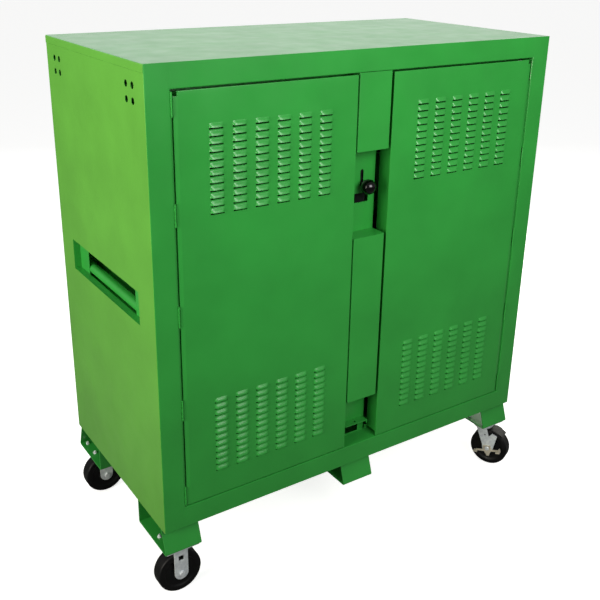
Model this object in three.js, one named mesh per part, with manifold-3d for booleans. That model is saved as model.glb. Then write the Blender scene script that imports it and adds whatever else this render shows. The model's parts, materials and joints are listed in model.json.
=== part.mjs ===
// Two-door rolling storage cabinet in bent and welded sheet steel, on skids and casters.
// Millimetres. X runs to the right of someone facing the doors, -Y is the door side, +Z is up.
// The origin is on the floor, under the middle of the cabinet.

import * as THREE from "three";
import { mergeVertices } from "three/addons/utils/BufferGeometryUtils.js";
import Module from "manifold-3d";

const wasm = await Module();
wasm.setup();

// ---------------------------------------------------------------- driving dimensions

// Cabinet body, measured over its outside faces.
const bodyWidth = 1524;
const bodyDepth = 762;
const bodyHeight = 1448;
const sheet = 2;
const bendRadius = 2;
const clearance = 0.3;

// How far a cutting solid runs past the face that it cuts, and a joined one into its neighbour.
const overcut = 1;

// Front frame around the door opening, and the lid that closes the top.
const jambWidth = 74;
const jambReturn = 51;
const headerHeight = 70;
const sillHeight = 72;
const stopLip = 14;
const rearFlange = 25;
const lidFlange = 24;
const joggleLap = 20;
const lapHeadroom = 1;
const panelEdgeGap = 1;
const floorInset = 6;
const floorFlange = 30;

// Doors. Each is a pan that opens to the back, flush with the front frame.
const doorDepth = 65;
const doorGap = 4;
const doorStopGap = 1;
const hingeLip = 24;
const freeLip = 44;
const leftPostGap = 5;
const rightPostGap = 9;

// Butt hinges, evenly spaced, with both leaves inside the gap.
const hingeCount = 5;
const hingeEndInset = 36;
const leafThickness = 1.5;
const leafGap = 0.4;
const leafDepth = 28;
const leafSetback = 4.5;
const knuckleRadius = 2.9;
const hingePinRadius = 1.4;
const hingePinClearance = 0.3;
const knuckleLength = 22;
const knuckleGap = 0.4;

// Centre post and the covers on its face.
const postWidth = 132;
const postDepth = 60;
const coverWidth = 126;
const upperCoverHeight = 244;
const lowerCoverBottom = 250;
const lowerCoverDrop = 598;

// Lock bar behind the post, lifted by a ball knob.
const lockTravel = 40;
const lockOffset = 10;
const lockBarWidth = 40;
const lockBarThickness = 6;
const lockBarGap = 4;
const lockBarBottom = 140;
const lockBarDrop = 158;
const armHeight = 25;
const armThickness = 6;
const armOverhang = 12;
const lockPinRadius = 5;
const lockPinLength = 45;
const lockPinBelowKeeper = 5;
const knobDrop = 441;
const knobRadius = 25;
const knobStandOff = 36;
const knobFlatDepth = 18;
const stemRadius = 5;
const slotWidth = 13;
const slotHeadroom = 4;
const armSlotRoom = 3;
const postSideRoom = 4;
const latchWindow = { width: 56, height: 31, belowKnob: 60 };
const lowerWindow = { width: 56, height: 36, aboveSill: 4 };

// Keepers on the backs of the doors.
const lowerKeeperHeight = 300;
const upperKeeperDrop = 268;
const keeperWidth = 23;
const keeperThickness = 4;
const keeperReach = 30;
const keeperLeg = 35;
const keeperInset = 9;
const keeperHoleRadius = 8;

// Padlock bracket in the lower recess.
const bracketWidth = 98;
const bracketReach = 30;
const bracketThickness = 4;
const bracketBottom = 125;
const bracketLegHeight = 14;
const shackleHoleRadius = 6;

// Handle pocket in each side.
const handleLength = 544;
const handleHeight = 106;
const handleBottom = 676;
const handleReturn = 21;
const pocketDepth = 90;
const pocketEndRoom = 14;
const pocketTopRoom = 8;
const pocketBottomRoom = 26;
const pocketRim = 12;
const gripRadius = 16;
const strapWidth = 78;

// Groups of four accessory holes near the top of each side.
const accessoryHoleRadius = 10;
const accessoryPitch = 42;
const accessoryDrop = 85;
const accessoryInset = 96;

// Shelves, and the ladder frames that carry them.
const shelfHeights = [316, 616, 916];
const shelfFlange = 35;
const shelfSideGap = 24;
const shelfPostGap = 6;
const shelfBack = 11;
const standardWidth = 25;
const standardThickness = 17;
const standardInset = 51;
const standardHeadroom = 118;
const standardFootGap = 2;
const ledgeHeight = 30;
const ledgeWidth = 38;

// Skids: bent plates open at both ends.
const skidWidth = 127;
const skidHeight = 88;
const skidPlate = 4;
const skidNose = 3;
const skidTopSetback = 28;
const skidLength = 212;

// Casters.
const wheelDiameter = 152.4;
const wheelWidth = 48;
const hubWidth = 54;
const hubRadius = 24;
const hubFillet = 3;
const webSetback = 5;
const rimBand = 14;
const rimSlope = 6;
const rimSetback = 3;
const treadShoulder = 5;
const treadChamfer = 6;
const casterHeadroom = 33.6;
const casterPlateX = 114;
const casterPlateY = 102;
const casterPlate = 6;
const forkPlate = 5;
const forkGap = 56;
const forkWidth = 48;
const axleRadius = 6;
const axleHeadRadius = 10;
const axleHeadLength = 7.5;
const runningClearance = 0.3;
const casterInsetX = 64;
const casterInsetY = 58;
const forkWindow = 19;
const forkWindowHeight = 60;
const racewayRadius = 36;
const racewayHeight = 12;
const kingpinRadius = 7;
const kingpinEnd = 6;
const kingpinNutRadius = 11;
const kingpinNutThickness = 8;
const crownRadius = 40;
const crownRear = 20;
const crownFront = 23;
const eyeRadius = 22;
const eyeShoulderRise = 12;
const eyeShoulderSetback = 2;
const hornSetback = 5;
const hornAngles = [61, 79];
const notchSetback = 24;
const notchAngle = 90;
const drainHole = { radius: 4, behindAxle: 16, aboveAxle: 57 };
const casterTrail = 36;
const swivelAngle = THREE.MathUtils.degToRad(-65);
const shoeThickness = 4;
const shoeClearance = 2.5;
const shoeHalfWidth = 24;
const shoeAngles = [98, 48];
const yokeAngles = [82, 63];
const earGap = 1.2;
const earThickness = 1.6;
const earTip = { rearDepth: 20, rearAngle: 78, frontDepth: 14, frontAngle: 60 };
const pedalThickness = 5;
const pedalGap = 1;
const pedalReach = 56;
const pedalTilt = 13;
const padLength = 16;
const padOverhang = 14;
const padThickness = 5;
const pedalArmDrop = 5;
const pedalArmHeight = 7;
const upturnRise = 3;
const pedalTop = { half: 16, rise: 13 };
const pedalWaist = { half: 17, drop: 7 };
const pedalToe = { half: 4, drop: 32 };

// ---------------------------------------------------------------- derived places

const halfWidth = bodyWidth / 2;
const halfDepth = bodyDepth / 2;
const frontY = -halfDepth;
const wheelRadius = wheelDiameter / 2;
const casterHeight = wheelDiameter + casterHeadroom;
const undersideZ = casterHeight + skidHeight;
const openingHalf = halfWidth - jambWidth;
const openingBottom = sillHeight;
const openingTop = bodyHeight - headerHeight;
const doorBottom = openingBottom + doorGap;
const doorTop = openingTop - doorGap;
const hingeX = openingHalf - doorGap / 2;
const doorBackY = frontY + doorDepth;
const stopY = doorBackY + doorStopGap;
const postFaceY = doorBackY;
const postBottom = openingBottom + clearance;
const postTop = openingTop - clearance;
const lockBarFrontY = postFaceY + sheet + lockBarGap;
const armFrontY = lockBarFrontY + lockBarThickness + clearance;
const lockPinY = armFrontY + armThickness / 2;
const leftDoorEdge = -coverWidth / 2 - leftPostGap;
const rightDoorEdge = coverWidth / 2 + rightPostGap;
const leftKeeperX = leftDoorEdge - keeperInset - keeperWidth / 2;
const rightKeeperX = rightDoorEdge + keeperInset + keeperWidth / 2;
const lidBottom = bodyHeight - lidFlange;
const knobHeight = bodyHeight - knobDrop;
const lowerCoverTop = bodyHeight - lowerCoverDrop;
const lockBarTop = bodyHeight - lockBarDrop;
const keeperHeights = [lowerKeeperHeight, bodyHeight - upperKeeperDrop];

// ---------------------------------------------------------------- solids

const roundSegments = 16;
const smallRoundSegments = 8;
const wheelSegments = 28;
const racewaySegments = 24;
const gripSegments = 20;
const ballRings = 12;
const holeSegments = 12;
const bendSegments = 2;

function toSolid(geometry) {
  const bare = geometry.clone();
  bare.deleteAttribute("normal");
  bare.deleteAttribute("uv");
  const merged = mergeVertices(bare, 1e-4);
  const mesh = new wasm.Mesh({
    numProp: 3,
    vertProperties: Float32Array.from(merged.attributes.position.array),
    triVerts: Uint32Array.from(merged.index.array),
  });
  return new wasm.Manifold(mesh);
}

function toGeometry(solid) {
  const mesh = solid.getMesh();
  const geometry = new THREE.BufferGeometry();
  geometry.setAttribute("position", new THREE.BufferAttribute(mesh.vertProperties, 3));
  geometry.setIndex(new THREE.BufferAttribute(mesh.triVerts, 1));
  geometry.computeVertexNormals();
  return geometry;
}

function join(first, ...others) {
  return others.reduce((whole, part) => whole.add(part), first);
}

function cut(first, ...others) {
  return others.reduce((whole, part) => whole.subtract(part), first);
}

function block([x0, x1], [y0, y1], [z0, z1]) {
  const geometry = new THREE.BoxGeometry(x1 - x0, y1 - y0, z1 - z0);
  geometry.translate((x0 + x1) / 2, (y0 + y1) / 2, (z0 + z1) / 2);
  return toSolid(geometry);
}

// A cylinder along one axis, from one end to the other, centred on two other coordinates.
function rod(axis, radius, [start, end], [a, b], segments = roundSegments) {
  const geometry = new THREE.CylinderGeometry(radius, radius, end - start, segments);
  const middle = (start + end) / 2;
  if (axis === "x") {
    geometry.rotateZ(-Math.PI / 2);
    geometry.translate(middle, a, b);
  } else if (axis === "y") {
    geometry.translate(a, middle, b);
  } else {
    geometry.rotateX(Math.PI / 2);
    geometry.translate(a, b, middle);
  }
  return toSolid(geometry);
}

// Extrusions of an outline: a plan runs up Z, a section (Y, Z) runs along X, a face (X, Z) runs along Y.
function extrusion(depth) {
  return { depth, bevelEnabled: false, curveSegments: smallRoundSegments };
}

function extrudePlan(shape, [z0, z1]) {
  const geometry = new THREE.ExtrudeGeometry(shape, extrusion(z1 - z0));
  geometry.translate(0, 0, z0);
  return toSolid(geometry);
}

function extrudeSection(shape, [x0, x1]) {
  const geometry = new THREE.ExtrudeGeometry(shape, extrusion(x1 - x0));
  const turn = new THREE.Matrix4().makeBasis(
    new THREE.Vector3(0, 1, 0),
    new THREE.Vector3(0, 0, 1),
    new THREE.Vector3(1, 0, 0),
  );
  geometry.applyMatrix4(turn);
  geometry.translate(x0, 0, 0);
  return toSolid(geometry);
}

function extrudeFace(shape, [y0, y1]) {
  const geometry = new THREE.ExtrudeGeometry(shape, extrusion(y1 - y0));
  const turn = new THREE.Matrix4().makeBasis(
    new THREE.Vector3(1, 0, 0),
    new THREE.Vector3(0, 0, 1),
    new THREE.Vector3(0, -1, 0),
  );
  geometry.applyMatrix4(turn);
  geometry.translate(0, y1, 0);
  return toSolid(geometry);
}

function rightOf(from, to) {
  const run = new THREE.Vector2().subVectors(to, from).normalize();
  return new THREE.Vector2(run.y, -run.x);
}

// A path whose inner corners are rounded. radiusAt gives a corner's radius from its turn.
function roundedPath(points, radiusAt) {
  const result = [points[0]];
  for (let i = 1; i < points.length - 1; i += 1) {
    const back = new THREE.Vector2().subVectors(points[i - 1], points[i]).normalize();
    const ahead = new THREE.Vector2().subVectors(points[i + 1], points[i]).normalize();
    const turn = back.y * ahead.x - back.x * ahead.y;
    const radius = radiusAt(turn);
    const half = Math.acos(THREE.MathUtils.clamp(back.dot(ahead), -1, 1)) / 2;
    const reach = radius / Math.tan(half);
    const bisector = new THREE.Vector2().addVectors(back, ahead).normalize();
    const centre = points[i].clone().addScaledVector(bisector, radius / Math.sin(half));
    const start = points[i].clone().addScaledVector(back, reach).sub(centre);
    const end = points[i].clone().addScaledVector(ahead, reach).sub(centre);
    const sweep = Math.atan2(start.x * end.y - start.y * end.x, start.dot(end));
    for (let k = 0; k <= bendSegments; k += 1) {
      const arm = start.clone().rotateAround(new THREE.Vector2(), (sweep * k) / bendSegments);
      result.push(arm.add(centre));
    }
  }
  result.push(points[points.length - 1]);
  return result;
}

// The outline of a bent strip. The points follow one face, with the metal on the right of the path.
function bentStrip(coordinates, thickness) {
  const face = coordinates.map(([x, y]) => new THREE.Vector2(x, y));
  const last = face.length - 1;
  const other = face.map((point, i) => {
    const before = rightOf(face[Math.max(i - 1, 0)], face[Math.max(i, 1)]);
    const after = rightOf(face[Math.min(i, last - 1)], face[Math.min(i + 1, last)]);
    const mitre = new THREE.Vector2().addVectors(before, after).normalize();
    return point.clone().addScaledVector(mitre, thickness / mitre.dot(before));
  });
  const outer = bendRadius + thickness;
  const nearSide = roundedPath(face, (turn) => (turn > 0 ? bendRadius : outer));
  const farSide = roundedPath(other, (turn) => (turn > 0 ? outer : bendRadius));
  return new THREE.Shape([...nearSide, ...farSide.reverse()]);
}

function outline(coordinates) {
  return new THREE.Shape(coordinates.map(([x, y]) => new THREE.Vector2(x, y)));
}

function mirrorX(coordinates, side) {
  return side < 0 ? coordinates : coordinates.map(([x, y]) => [-x, y]).reverse();
}

// A range along X given for the left side, moved to the right side when side is +1.
function sideRange([near, far], side) {
  return side < 0 ? [near, far] : [-far, -near];
}

// ---------------------------------------------------------------- materials

const finishes = {
  paint: { color: 0x2f8f3a, roughness: 0.35, metalness: 0.1 },
  interior: { color: 0x2b8436, roughness: 0.45, metalness: 0.1 },
  zinc: { color: 0xb4bcc2, roughness: 0.4, metalness: 0.9 },
  blackSteel: { color: 0x1a1c1c, roughness: 0.5, metalness: 0.4 },
  knob: { color: 0x0c0c0d, roughness: 0.15, metalness: 0 },
  rubber: { color: 0x151515, roughness: 0.6, metalness: 0 },
};

function place(group, name, finish, solid) {
  const material = new THREE.MeshStandardMaterial(finishes[finish]);
  const mesh = new THREE.Mesh(toGeometry(solid), material);
  mesh.name = name;
  group.add(mesh);
}

// ---------------------------------------------------------------- cabinet shell

const accessoryY = halfDepth - accessoryInset;
const handleMiddleY = 0;
const handleY = [handleMiddleY - handleLength / 2, handleMiddleY + handleLength / 2];
const handleZ = [handleBottom, handleBottom + handleHeight];

function grow([low, high], by) {
  return [low - by, high + by];
}

// One bent sheet: jamb return, front jamb, side wall and rear flange.
function sidePanel(side) {
  const plan = mirrorX([
    [-openingHalf, frontY + jambReturn],
    [-openingHalf, frontY],
    [-halfWidth, frontY],
    [-halfWidth, halfDepth],
    [-halfWidth + rearFlange, halfDepth],
  ], side);
  const wall = extrudePlan(bentStrip(plan, sheet), [0, bodyHeight]);
  const behindFace = [frontY + sheet, halfDepth + overcut];
  const allX = sideRange([-halfWidth - overcut, -openingHalf + overcut], side);
  const aboveLid = bodyHeight + overcut;
  const lidRoom = block(
    sideRange([-halfWidth - overcut, -halfWidth + rearFlange + overcut], side),
    behindFace,
    [lidBottom - clearance, aboveLid],
  );
  const lidSheetRoom = block(allX, behindFace, [bodyHeight - sheet - clearance, aboveLid]);
  const floorRoom = block(
    sideRange([-halfWidth + sheet + bendRadius, -openingHalf + overcut], side),
    [frontY + sheet + clearance, halfDepth - sheet - bendRadius],
    [-overcut, sheet + clearance],
  );
  const lapInner = -halfWidth + 2 * sheet + clearance;
  const lapY = [frontY + jambReturn, halfDepth - rearFlange];
  const lapFoot = block(
    sideRange([-halfWidth + sheet / 2, lapInner], side),
    lapY,
    [lidBottom - joggleLap, lidBottom - clearance],
  );
  const lap = block(
    sideRange([-halfWidth + sheet + clearance, lapInner], side),
    lapY,
    [lidBottom - joggleLap, bodyHeight - sheet - bendRadius - lapHeadroom],
  );
  const collar = block(
    sideRange([-halfWidth + sheet / 2, -halfWidth + sheet + handleReturn], side),
    grow(handleY, sheet),
    grow(handleZ, sheet),
  );
  const mouth = block(
    sideRange([-halfWidth - overcut, -halfWidth + pocketDepth], side),
    handleY,
    handleZ,
  );
  const wallX = sideRange([-halfWidth - overcut, -halfWidth + sheet + overcut], side);
  const holes = [];
  for (const middleY of [-accessoryY, accessoryY]) {
    for (const stepY of [-0.5, 0.5]) {
      for (const stepZ of [-0.5, 0.5]) {
        const y = middleY + stepY * accessoryPitch;
        const z = bodyHeight - accessoryDrop + stepZ * accessoryPitch;
        holes.push(rod("x", accessoryHoleRadius, wallX, [y, z], holeSegments));
      }
    }
  }
  const cleared = cut(wall, lidRoom, lidSheetRoom, floorRoom);
  return cut(join(cleared, lapFoot, lap, collar), mouth, ...holes);
}

function topPanel() {
  const section = bentStrip([
    [-halfWidth, lidBottom],
    [-halfWidth, bodyHeight],
    [halfWidth, bodyHeight],
    [halfWidth, lidBottom],
  ], sheet);
  const cap = extrudeFace(section, [frontY + sheet + clearance, halfDepth]);
  const backFlange = block(
    [-halfWidth + sheet / 2, halfWidth - sheet / 2],
    [halfDepth - sheet, halfDepth],
    [lidBottom, bodyHeight - sheet / 2],
  );
  return join(cap, backFlange);
}

function backPanel() {
  const edge = halfWidth - sheet - bendRadius - panelEdgeGap;
  const outerY = halfDepth - sheet - clearance;
  return block(
    [-edge, edge],
    [outerY - sheet, outerY],
    [sheet + clearance, bodyHeight - sheet - clearance],
  );
}

function floorPanel() {
  const edge = halfWidth - floorInset;
  const backY = halfDepth - 2 * sheet - 2 * clearance;
  const frontEdge = frontY + floorInset;
  const base = block([-edge, edge], [frontEdge, backY], [0, sheet]);
  const sideY = [frontY + jambReturn, backY];
  const left = block([-edge, -edge + sheet], sideY, [0, floorFlange]);
  const right = block([edge - sheet, edge], sideY, [0, floorFlange]);
  const back = block([-edge, edge], [backY - sheet, backY], [0, floorFlange]);
  return join(base, left, right, back);
}

const frameSpan = [-openingHalf + clearance, openingHalf - clearance];
const postRoomHalf = postWidth / 2 + postSideRoom;
const postRoomY = [stopY - bendRadius - overcut, stopY + sheet + overcut];

function frontHeader() {
  const section = bentStrip([
    [stopY, openingTop - stopLip],
    [stopY, openingTop],
    [frontY, openingTop],
    [frontY, bodyHeight],
  ], sheet);
  const postRoom = block(
    [-postRoomHalf, postRoomHalf],
    postRoomY,
    [openingTop - stopLip - overcut, openingTop],
  );
  return cut(extrudeSection(section, frameSpan), postRoom);
}

function frontSill() {
  const section = bentStrip([
    [frontY, 0],
    [frontY, openingBottom],
    [stopY, openingBottom],
    [stopY, openingBottom + stopLip],
  ], sheet);
  const postRoom = block(
    [-postRoomHalf, postRoomHalf],
    postRoomY,
    [openingBottom, openingBottom + stopLip + overcut],
  );
  return cut(extrudeSection(section, frameSpan), postRoom);
}

// ---------------------------------------------------------------- centre post

function coverPlan(halfSpan, frontFace, backEdge) {
  return bentStrip([
    [halfSpan, backEdge],
    [halfSpan, frontFace],
    [-halfSpan, frontFace],
    [-halfSpan, backEdge],
  ], sheet);
}

// A slot with round ends, standing upright in the post's face.
function roundSlot(middleX, [bottom, top], width, depthY) {
  const radius = width / 2;
  return join(
    block([middleX - radius, middleX + radius], depthY, [bottom + radius, top - radius]),
    rod("y", radius, depthY, [middleX, bottom + radius]),
    rod("y", radius, depthY, [middleX, top - radius]),
  );
}

function armBottom(keeperBottom) {
  return keeperBottom - lockPinBelowKeeper - lockPinLength - armHeight;
}

function centrePost() {
  const plan = coverPlan(postWidth / 2, postFaceY, postFaceY + postDepth);
  const post = extrudePlan(plan, [postBottom, postTop]);
  const throughFace = [postFaceY - overcut, postFaceY + sheet + overcut];
  const knobSlot = roundSlot(
    lockOffset,
    [knobHeight - slotWidth / 2, knobHeight + lockTravel + slotWidth / 2 + slotHeadroom],
    slotWidth,
    throughFace,
  );
  const windows = [
    [latchWindow, knobHeight - latchWindow.belowKnob],
    [lowerWindow, openingBottom + lowerWindow.aboveSill],
  ].map(([{ width, height }, bottom]) => block(
    [lockOffset - width / 2, lockOffset + width / 2],
    throughFace,
    [bottom, bottom + height],
  ));
  const armSlots = keeperHeights.map((keeperBottom) => block(
    grow([-postWidth / 2, postWidth / 2], overcut),
    grow([armFrontY, armFrontY + armThickness], armSlotRoom),
    grow([armBottom(keeperBottom), armBottom(keeperBottom) + armHeight + lockTravel], armSlotRoom),
  ));
  return cut(post, knobSlot, ...windows, ...armSlots);
}

function postCover([bottom, top], endPlate) {
  const plan = coverPlan(coverWidth / 2, frontY, postFaceY - clearance);
  const shell = extrudePlan(plan, [bottom, top]);
  const end = block(
    grow([-coverWidth / 2, coverWidth / 2], -sheet / 2),
    [frontY + sheet / 2, postFaceY - clearance],
    endPlate,
  );
  return join(shell, end);
}

function padlockBracket() {
  const spanX = [lockOffset - bracketWidth / 2, lockOffset + bracketWidth / 2];
  const spanY = [postFaceY - clearance - bracketReach, postFaceY - clearance];
  const top = bracketBottom + bracketThickness;
  const shelf = block(spanX, spanY, [bracketBottom, top]);
  const leg = block([spanX[1] - bracketThickness, spanX[1]], spanY, [top - bracketLegHeight, top]);
  const shackleHole = rod(
    "z",
    shackleHoleRadius,
    grow([bracketBottom, top], overcut),
    [lockOffset, (spanY[0] + spanY[1]) / 2],
  );
  return cut(join(shelf, leg), shackleHole);
}

// ---------------------------------------------------------------- lock

function lockBar() {
  return block(
    [lockOffset - lockBarWidth / 2, lockOffset + lockBarWidth / 2],
    [lockBarFrontY, lockBarFrontY + lockBarThickness],
    [lockBarBottom, lockBarTop],
  );
}

// A cross arm with an upright pin at each end, one for each door.
function crossArm(keeperBottom) {
  const bottom = armBottom(keeperBottom);
  const top = bottom + armHeight;
  const arm = block(
    [leftKeeperX - armOverhang, rightKeeperX + armOverhang],
    [armFrontY, armFrontY + armThickness],
    [bottom, top],
  );
  const pins = [leftKeeperX, rightKeeperX].map((x) => (
    rod("z", lockPinRadius, [top - armHeight / 2, top + lockPinLength], [x, lockPinY])
  ));
  return join(arm, ...pins);
}

function knobStem() {
  const knobBackY = postFaceY - knobStandOff + knobFlatDepth;
  return rod(
    "y",
    stemRadius,
    [knobBackY + clearance, lockBarFrontY - clearance],
    [lockOffset, knobHeight],
  );
}

function knobBall() {
  const middleY = postFaceY - knobStandOff;
  const ball = new THREE.SphereGeometry(knobRadius, roundSegments, ballRings);
  ball.translate(lockOffset, middleY, knobHeight);
  const around = knobRadius + overcut;
  const behind = block(
    grow([lockOffset, lockOffset], around),
    [middleY + knobFlatDepth, middleY + around],
    grow([knobHeight, knobHeight], around),
  );
  return cut(toSolid(ball), behind);
}

// ---------------------------------------------------------------- doors

// Door pieces are drawn for a left door in its own frame, whose Z axis is the hinge line and whose
// +X runs across the closed door. The right door's plan is the mirror image.
function doorPan(side, width) {
  const nearX = doorGap / 2;
  const farX = nearX + width;
  const plan = mirrorX([
    [farX - freeLip, doorDepth],
    [farX, doorDepth],
    [farX, 0],
    [nearX, 0],
    [nearX, doorDepth],
    [nearX + hingeLip, doorDepth],
  ], side);
  const pan = extrudePlan(bentStrip(plan, sheet), [doorBottom, doorTop]);
  const capX = sideRange(grow([nearX, farX], -sheet / 2), side);
  const capY = [sheet / 2, doorDepth - sheet / 2];
  const bottomCap = block(capX, capY, [doorBottom, doorBottom + sheet]);
  const topCap = block(capX, capY, [doorTop - sheet, doorTop]);
  return join(pan, bottomCap, topCap);
}

// A keeper is an angle: one leg on the door's free lip, the other with a hole for a lock pin.
function keeper(middleX, bottom) {
  const lipBackY = doorDepth + clearance;
  const spanX = [middleX - keeperWidth / 2, middleX + keeperWidth / 2];
  const tongue = block(spanX, [lipBackY, lipBackY + keeperReach], [bottom, bottom + keeperThickness]);
  const leg = block(spanX, [lipBackY, lipBackY + keeperThickness], [bottom, bottom + keeperLeg]);
  const hole = rod(
    "z",
    keeperHoleRadius,
    grow([bottom, bottom + keeperThickness], overcut),
    [middleX, lockPinY - frontY],
  );
  return cut(join(tongue, leg), hole);
}

const hingeStep = (doorTop - doorBottom - 2 * hingeEndInset) / (hingeCount - 1);
const hingeMiddles = Array.from(
  { length: hingeCount },
  (_, i) => doorBottom + hingeEndInset + i * hingeStep,
);
const knuckleStep = knuckleLength + knuckleGap;

// The leaf on the jamb carries the outer two knuckles of each hinge and the pin between them.
function frameLeaf(side) {
  const leafX = sideRange([-leafGap / 2 - leafThickness, -leafGap / 2], side);
  const strip = block(leafX, [leafSetback, leafSetback + leafDepth], grow([doorBottom, doorTop], -sheet));
  const pieces = [];
  for (const middle of hingeMiddles) {
    for (const step of [-knuckleStep, knuckleStep]) {
      const spanZ = grow([middle + step, middle + step], knuckleLength / 2);
      pieces.push(rod("z", knuckleRadius, spanZ, [0, 0], smallRoundSegments));
      pieces.push(block(leafX, [0, leafSetback + overcut], spanZ));
    }
    const pinZ = grow([middle, middle], knuckleLength);
    pieces.push(rod("z", hingePinRadius, pinZ, [0, 0], smallRoundSegments));
  }
  return join(strip, ...pieces);
}

// The leaf on the door carries the middle knuckle, which turns on the pin.
function doorLeaf(side) {
  const leafX = sideRange([leafGap / 2, leafGap / 2 + leafThickness], side);
  const strip = block(leafX, [leafSetback, leafSetback + leafDepth], grow([doorBottom, doorTop], -sheet));
  const pieces = [];
  const bores = [];
  for (const middle of hingeMiddles) {
    const spanZ = grow([middle, middle], knuckleLength / 2);
    pieces.push(rod("z", knuckleRadius, spanZ, [0, 0], smallRoundSegments));
    pieces.push(block(leafX, [0, leafSetback + overcut], spanZ));
    const boreRadius = hingePinRadius + hingePinClearance;
    bores.push(rod("z", boreRadius, grow(spanZ, overcut), [0, 0], smallRoundSegments));
  }
  return cut(join(strip, ...pieces), ...bores);
}

// ---------------------------------------------------------------- handles

function handlePocket(side) {
  const mouthX = -halfWidth + sheet + clearance;
  const backX = -halfWidth + pocketDepth;
  const insideY = grow(handleY, sheet + pocketEndRoom);
  const insideZ = [handleZ[0] - sheet - pocketBottomRoom, handleZ[1] + sheet + pocketTopRoom];
  const box = block(sideRange([mouthX, backX], side), grow(insideY, sheet), grow(insideZ, sheet));
  const rim = block(
    sideRange([mouthX, mouthX + sheet], side),
    grow(insideY, sheet + pocketRim),
    grow(insideZ, sheet + pocketRim),
  );
  const hollow = block(sideRange([mouthX - overcut, backX - sheet], side), insideY, insideZ);
  return cut(join(box, rim), hollow);
}

// A round grip with a flat strap at each end, seated behind the collar of the opening.
function handleBar(side) {
  const strapX = -halfWidth + sheet + handleReturn + clearance;
  const gripX = strapX + gripRadius + sheet / 2;
  const spanY = grow(handleY, sheet + pocketEndRoom - clearance);
  const gripZ = handleBottom + gripRadius;
  const bar = rod("y", gripRadius, spanY, [side < 0 ? gripX : -gripX, gripZ], gripSegments);
  const strapZ = [handleBottom - sheet, handleZ[1] + sheet];
  const straps = [
    [spanY[0], handleY[0] + strapWidth],
    [handleY[1] - strapWidth, spanY[1]],
  ].map((strapY) => block(sideRange([strapX, strapX + sheet], side), strapY, strapZ));
  return join(bar, ...straps);
}

// ---------------------------------------------------------------- shelves

const shelfHalf = halfWidth - shelfSideGap;
const shelfFrontY = postFaceY + postDepth + shelfPostGap;
const shelfBackY = halfDepth - shelfBack;

function shelf(top) {
  const spanX = [-shelfHalf, shelfHalf];
  const spanY = [shelfFrontY, shelfBackY];
  const pan = block(spanX, spanY, [top - shelfFlange, top]);
  const under = block(
    grow(spanX, -sheet),
    grow(spanY, -sheet),
    [top - shelfFlange - overcut, top - sheet],
  );
  return cut(pan, under);
}

// Two uprights against the side wall, tied together by a ledge under each shelf.
function shelfFrame(side) {
  const wallX = -halfWidth + sheet + clearance;
  const frontEdge = -halfDepth + standardInset - standardWidth / 2;
  const uprightY = [
    [frontEdge, frontEdge + standardWidth],
    [-frontEdge - standardWidth, -frontEdge],
  ];
  const uprightZ = [floorFlange + standardFootGap, bodyHeight - standardHeadroom];
  const uprights = uprightY.map((spanY) => (
    block(sideRange([wallX, wallX + standardThickness], side), spanY, uprightZ)
  ));
  const ledges = shelfHeights.flatMap((top) => {
    const ledgeTop = top - shelfFlange - clearance;
    const spanY = [frontEdge, -frontEdge];
    return [
      block(sideRange([wallX, wallX + ledgeWidth], side), spanY, [ledgeTop - sheet, ledgeTop]),
      block(sideRange([wallX, wallX + sheet], side), spanY, [ledgeTop - ledgeHeight, ledgeTop]),
    ];
  });
  return join(...uprights, ...ledges);
}

// ---------------------------------------------------------------- skids

// The bottom plate's nose stands under the body's front or rear face; its outer wall leans back.
function skid(middleX, end) {
  const nose = halfDepth + skidNose;
  const inner = nose - skidLength;
  const profile = [
    [-inner, -clearance],
    [-inner, -skidHeight],
    [-nose, -skidHeight],
    [-halfDepth + skidTopSetback, -clearance],
  ];
  const path = end < 0 ? profile : profile.map(([y, z]) => [-y, z]).reverse();
  return extrudeSection(bentStrip(path, skidPlate), grow([middleX, middleX], skidWidth / 2));
}

// ---------------------------------------------------------------- casters

// Caster pieces stand on the floor, with the kingpin or the plate's middle on the Z axis. The wheel
// rolls along X, its middle set back by the trail.
const plateTop = casterHeight - clearance;
const plateBottom = plateTop - casterPlate;
const legY = [forkGap / 2, forkGap / 2 + forkPlate];

function casterPlateSolid() {
  return block(
    [-casterPlateX / 2, casterPlateX / 2],
    [-casterPlateY / 2, casterPlateY / 2],
    [plateBottom, plateTop],
  );
}

function rigidFork() {
  const half = forkWidth / 2;
  const crownBottom = plateBottom - forkPlate;
  const face = new THREE.Shape();
  face.moveTo(half, plateBottom + overcut);
  face.lineTo(-half, plateBottom + overcut);
  face.lineTo(-half, wheelRadius);
  face.absarc(0, wheelRadius, half, Math.PI, 2 * Math.PI, false);
  const window = grow([0, 0], forkWindow / 2);
  const windowZ = grow([wheelRadius + forkWindowHeight, wheelRadius + forkWindowHeight], forkWindow / 2);
  const crown = block([-half, half], [-legY[1], legY[1]], [crownBottom, plateBottom + overcut]);
  const legs = [[-legY[1], -legY[0]], legY].map((spanY) => extrudeFace(face, spanY));
  const through = grow([-legY[1], legY[1]], overcut);
  return cut(
    join(casterPlateSolid(), crown, ...legs),
    rod("y", axleRadius + runningClearance, through, [0, wheelRadius]),
    block(window, through, windowZ),
  );
}

function wheel() {
  const tread = wheelWidth / 2;
  const hub = hubWidth / 2;
  const rim = wheelRadius - rimBand;
  const half = [
    [axleRadius + 2 * runningClearance, -hub],
    [hubRadius, -hub],
    [hubRadius + hubFillet, -tread + webSetback],
    [rim - rimSlope, -tread + rimSetback],
    [rim, -tread],
    [wheelRadius - treadShoulder, -tread],
    [wheelRadius, -tread + treadChamfer],
  ];
  const profile = [...half, ...half.map(([r, y]) => [r, -y]).reverse(), half[0]];
  const points = profile.map(([r, y]) => new THREE.Vector2(r, y));
  return new THREE.LatheGeometry(points, wheelSegments);
}

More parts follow.
